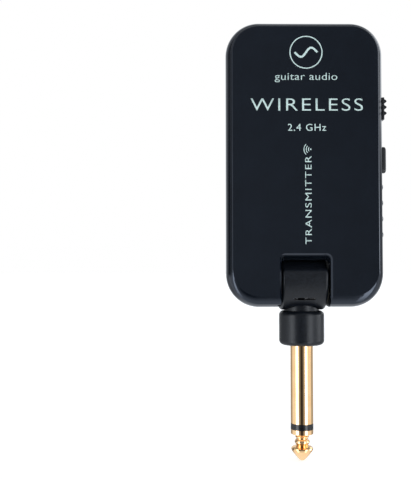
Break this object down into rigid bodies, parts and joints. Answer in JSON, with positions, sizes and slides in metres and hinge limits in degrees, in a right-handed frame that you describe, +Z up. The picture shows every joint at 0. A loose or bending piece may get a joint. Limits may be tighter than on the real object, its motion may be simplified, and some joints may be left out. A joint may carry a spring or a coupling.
{
  "type": "wireless instrument transmitter",
  "caption": "Pocket-size wireless instrument transmitter: a rounded flat box whose jack plug swivels in a notch at its lower end, with a slide switch, a button and a row of lights.",
  "frame": {"origin": "the plug's shoulder: the centre of the boot's bottom face, on the plug's axis", "axes": "+Z up the plug's axis into the housing, -Y out of the printed front face, +X towards the side with the switch, button and lights"},
  "size_m": [0.0442, 0.02, 0.1213],
  "materials": {
    "cover_gloss_abs": "high gloss moulded ABS, black with a blue cast",
    "label_film": "satin polyester film",
    "screw_steel": "black oxide steel",
    "board_laminate": "green solder mask on glass laminate",
    "shield_tinned_steel": "tinned steel",
    "chip_epoxy": "moulded epoxy",
    "capacitor_ceramic": "fired ceramic",
    "battery_pouch": "laminated foil pouch",
    "foam_pad": "closed-cell foam",
    "connector_nylon": "natural nylon",
    "lead_red": "PVC insulation",
    "lead_black": "PVC insulation",
    "usb_steel": "nickel-plated steel",
    "switch_steel": "nickel-plated steel",
    "switch_nylon": "moulded nylon",
    "knob_matte_abs": "satin moulded ABS",
    "led_epoxy": "clear epoxy over a white body",
    "lens_clear": "clear moulded polycarbonate",
    "pivot_brass": "turned brass",
    "washer_nylon": "nylon",
    "arm_matte_abs": "fine-grained moulded ABS",
    "plug_gold": "gold-plated brass, polished",
    "insulator_black": "moulded acetal",
    "terminal_tinned": "tinned brass",
    "cable_black": "PVC jacket"
  },
  "bodies": {
    "plug_arm": {"plug_arm_front": "arm_matte_abs", "plug_arm_rear": "arm_matte_abs", "plug_sleeve": "plug_gold", "plug_insulator": "insulator_black", "plug_tip": "plug_gold", "tip_terminal": "terminal_tinned", "sleeve_terminal": "terminal_tinned", "terminal_washer": "washer_nylon", "arm_cable": "cable_black"},
    "housing": {"front_cover": "cover_gloss_abs", "rear_cover": "cover_gloss_abs", "rear_label": "label_film", "case_screws": "screw_steel", "main_board": "board_laminate", "board_screws": "screw_steel", "rf_shield": "shield_tinned_steel", "radio_chips": "chip_epoxy", "audio_chips": "chip_epoxy", "board_capacitors": "capacitor_ceramic", "crystal_can": "shield_tinned_steel", "chip_antenna": "capacitor_ceramic", "battery_cell": "battery_pouch", "battery_pad": "foam_pad", "battery_protection_board": "board_laminate", "battery_connector": "connector_nylon", "battery_lead_red": "lead_red", "battery_lead_black": "lead_black", "usb_shell": "usb_steel", "usb_tongue": "chip_epoxy", "power_switch_frame": "switch_steel", "channel_switch_body": "switch_nylon", "channel_leds": "led_epoxy", "light_pipe": "lens_clear", "hinge_pivot_left": "pivot_brass", "hinge_pivot_right": "pivot_brass", "hinge_washer_left": "washer_nylon", "hinge_washer_right": "washer_nylon", "housing_cable": "cable_black"},
    "power_slider": {"power_knob": "knob_matte_abs", "power_switch_lever": "switch_nylon"},
    "channel_key": {"channel_button": "knob_matte_abs", "channel_switch_plunger": "switch_nylon"}
  },
  "joints": [
    {"name": "plug_swivel", "type": "hinge", "parent": "plug_arm", "child": "housing", "pos_m": [0, 0, 0.0164], "axis": [1, 0, 0], "range_deg": [-96, 96]},
    {"name": "power_slide", "type": "slide", "parent": "housing", "child": "power_slider", "axis": [0, 0, -1], "range_m": [0, 0.0018]},
    {"name": "channel_press", "type": "slide", "parent": "housing", "child": "channel_key", "axis": [-1, 0, 0], "range_m": [0, 0.0003], "stiffness_N_per_m": 2000, "springref_m": -0.0002}
  ]
}
